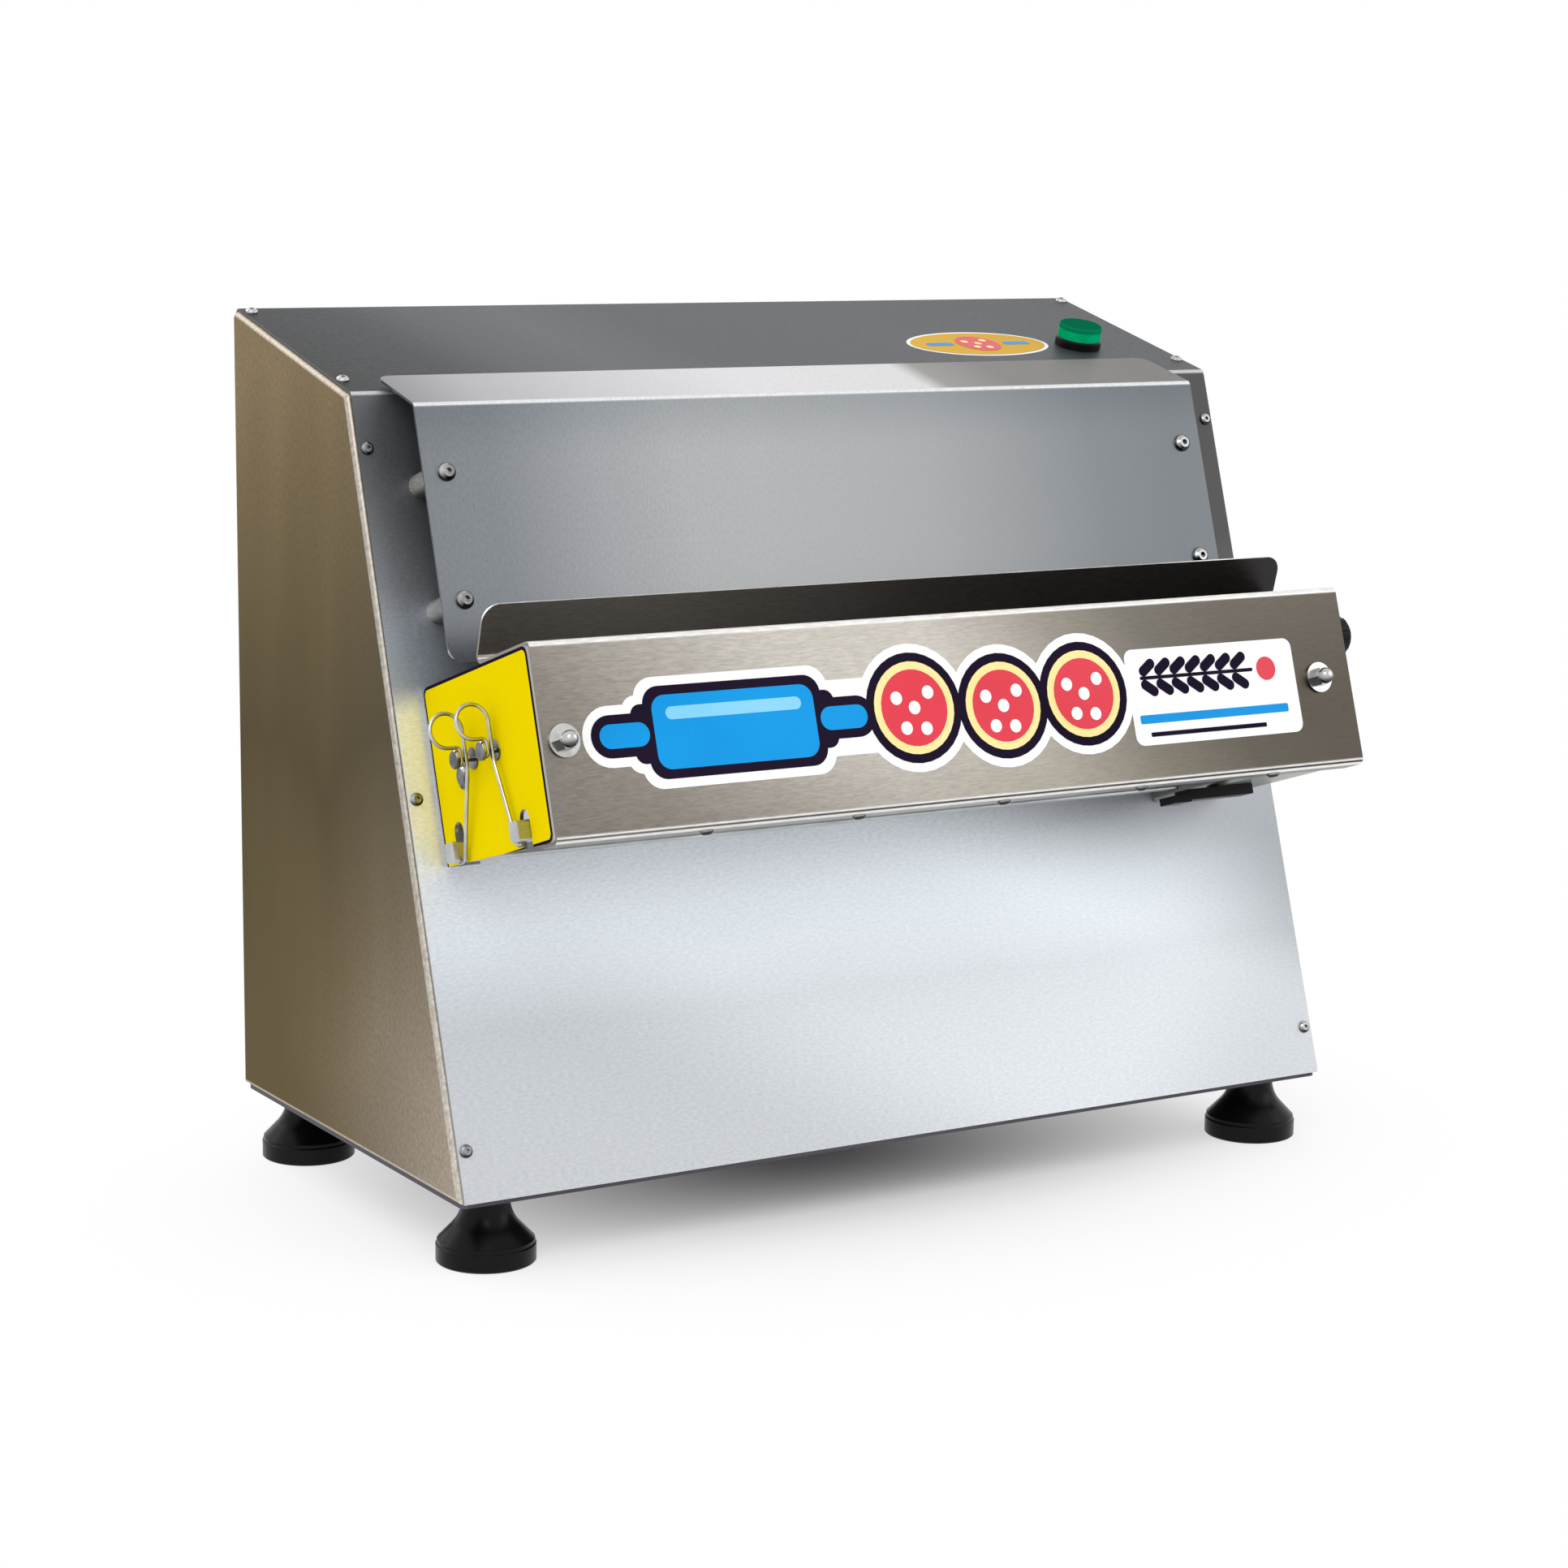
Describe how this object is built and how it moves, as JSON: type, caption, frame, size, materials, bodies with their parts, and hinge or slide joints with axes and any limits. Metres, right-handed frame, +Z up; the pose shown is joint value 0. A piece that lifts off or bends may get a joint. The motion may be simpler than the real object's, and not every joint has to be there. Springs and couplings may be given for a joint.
{
  "type": "pizza dough roller machine",
  "caption": "Worktop dough roller with a leaning sheet-metal body, a feed chute, a box with a flared lip that covers two rollers, wire scraper latches, a pilot lamp and levelling feet.",
  "frame": {"origin": "on the worktop, under the centre of the machine's outline", "axes": "+X to the right of a person who stands in front and looks at the machine, +Y to the rear, +Z up"},
  "size_m": [0.6062, 0.3941, 0.5136],
  "materials": {
    "stainless_sheet": "brushed stainless sheet",
    "stainless_box": "stainless sheet brushed along its length",
    "bright_steel": "bright stainless screws, nuts, washers and wire",
    "machined_steel": "turned and ground steel",
    "roller_plastic": "white food grade plastic",
    "bronze": "bearing bronze",
    "cast_aluminium": "cast and milled aluminium",
    "motor_paint": "dark painted steel",
    "bracket_paint": "grey painted steel",
    "black_rubber": "black rubber",
    "black_plastic": "black moulded plastic",
    "green_lens": "clear green plastic"
  },
  "bodies": {
    "housing": {"left_side_panel": "stainless_sheet", "right_side_panel": "stainless_sheet", "front_top_cover": "stainless_sheet", "rear_panel": "stainless_sheet", "base_pan": "stainless_sheet", "feed_chute": "stainless_box", "roller_cover": "stainless_box", "cover_stiffener": "stainless_box", "left_end_plate": "stainless_box", "right_end_plate": "stainless_box", "divider_plate": "stainless_box", "foot_nuts": "bright_steel", "front_panel_screws": "bright_steel", "top_panel_screws": "bright_steel", "rear_panel_screws": "bright_steel", "cover_bottom_screws": "bright_steel", "chute_spacers": "bright_steel", "chute_screws": "bright_steel", "cover_dome_nuts": "bright_steel", "cover_washers": "bright_steel", "cover_studs": "bright_steel", "latch_pins": "bright_steel", "latch_washers": "bright_steel", "rear_bearing_bolt": "bright_steel", "rear_roller_bushings": "bronze", "left_bearing_carrier": "cast_aluminium", "right_bearing_carrier": "cast_aluminium", "gearbox": "cast_aluminium", "motor": "motor_paint", "motor_bracket": "bracket_paint", "drive_belt": "black_rubber", "lamp_base": "black_plastic", "lamp_nut": "black_plastic", "safety_switch": "black_plastic", "switch_bezel": "black_plastic", "cable_gland": "black_plastic", "lamp_lens": "green_lens"},
    "rear_roller_unit": {"rear_roller": "roller_plastic", "rear_roller_shaft": "machined_steel", "rear_roller_gear": "machined_steel", "roller_pulley": "cast_aluminium"},
    "gap_carriage": {"front_bearing_blocks": "cast_aluminium"},
    "front_roller_unit": {"front_roller": "roller_plastic", "front_roller_shaft": "machined_steel", "front_roller_gear": "machined_steel"},
    "gap_knob_unit": {"gap_knob": "black_plastic", "gap_cam_shaft": "machined_steel"},
    "motor_drive": {"motor_pulley": "cast_aluminium", "motor_output_shaft": "machined_steel"},
    "rear_scraper": {"rear_scraper_bar": "cast_aluminium", "rear_scraper_blade": "roller_plastic"},
    "front_scraper": {"front_scraper_bar": "cast_aluminium", "front_scraper_blade": "roller_plastic"},
    "rear_latch": {"rear_latch_wire": "bright_steel"},
    "front_latch": {"front_latch_wire": "bright_steel"},
    "front_left_foot_unit": {"front_left_foot": "black_rubber"},
    "front_right_foot_unit": {"front_right_foot": "black_rubber"},
    "rear_left_foot_unit": {"rear_left_foot": "black_rubber"},
    "rear_right_foot_unit": {"rear_right_foot": "black_rubber"},
    "power_rocker_unit": {"power_rocker": "black_plastic"}
  },
  "joints": [
    {"name": "rear_roller_spin", "type": "hinge", "parent": "housing", "child": "rear_roller_unit", "pos_m": [-0.0369, -0.0885, 0.27264], "axis": [1, 0, 0], "continuous": true},
    {"name": "gap_knob_turn", "type": "hinge", "parent": "housing", "child": "gap_knob_unit", "pos_m": [0.0031, -0.15593, 0.32426], "axis": [1, 0, 0], "range_deg": [0, 270]},
    {"name": "gap_slide", "type": "slide", "parent": "housing", "child": "gap_carriage", "axis": [0, -0.952, 0.3062], "range_m": [0, 0.0035]},
    {"name": "front_roller_spin", "type": "hinge", "parent": "gap_carriage", "child": "front_roller_unit", "pos_m": [-0.0369, -0.14086, 0.28948], "axis": [1, 0, 0], "continuous": true},
    {"name": "motor_pulley_spin", "type": "hinge", "parent": "housing", "child": "motor_drive", "pos_m": [0.2421, 0.04756, 0.193], "axis": [1, 0, 0], "continuous": true},
    {"name": "rear_latch_swing", "type": "hinge", "parent": "housing", "child": "rear_latch", "pos_m": [-0.2859, -0.10083, 0.28427], "axis": [-1, 0, 0], "range_deg": [0, 30]},
    {"name": "rear_scraper_drop", "type": "hinge", "parent": "housing", "child": "rear_scraper", "pos_m": [0.2071, -0.08631, 0.23044], "axis": [0, -0.952, 0.3062], "range_deg": [0, 0.92]},
    {"name": "front_latch_swing", "type": "hinge", "parent": "housing", "child": "front_latch", "pos_m": [-0.2839, -0.1272, 0.29275], "axis": [1, 0, 0], "range_deg": [0, 30]},
    {"name": "front_scraper_drop", "type": "hinge", "parent": "housing", "child": "front_scraper", "pos_m": [0.2071, -0.16247, 0.25494], "axis": [0, -0.952, 0.3062], "range_deg": [0, 0.92]},
    {"name": "front_left_foot_level", "type": "slide", "parent": "housing", "child": "front_left_foot_unit", "axis": [0, 0, -1], "range_m": [0, 0.01]},
    {"name": "front_right_foot_level", "type": "slide", "parent": "housing", "child": "front_right_foot_unit", "axis": [0, 0, -1], "range_m": [0, 0.01]},
    {"name": "rear_left_foot_level", "type": "slide", "parent": "housing", "child": "rear_left_foot_unit", "axis": [0, 0, -1], "range_m": [0, 0.01]},
    {"name": "rear_right_foot_level", "type": "slide", "parent": "housing", "child": "rear_right_foot_unit", "axis": [0, 0, -1], "range_m": [0, 0.01]},
    {"name": "power_switch_rock", "type": "hinge", "parent": "housing", "child": "power_rocker_unit", "pos_m": [-0.2019, 0.17756, 0.103], "axis": [1, 0, 0], "range_deg": [0, 28]}
  ],
  "couplings": [
    {"joint": "front_roller_spin", "follows": "rear_roller_spin", "ratio": -1},
    {"joint": "motor_pulley_spin", "follows": "rear_roller_spin", "ratio": 1},
    {"joint": "gap_knob_turn", "follows": "gap_slide", "rad_per_m": 1346.4},
    {"joint": "rear_scraper_drop", "follows": "rear_latch_swing", "ratio": 0.03},
    {"joint": "front_scraper_drop", "follows": "front_latch_swing", "ratio": 0.03}
  ]
}
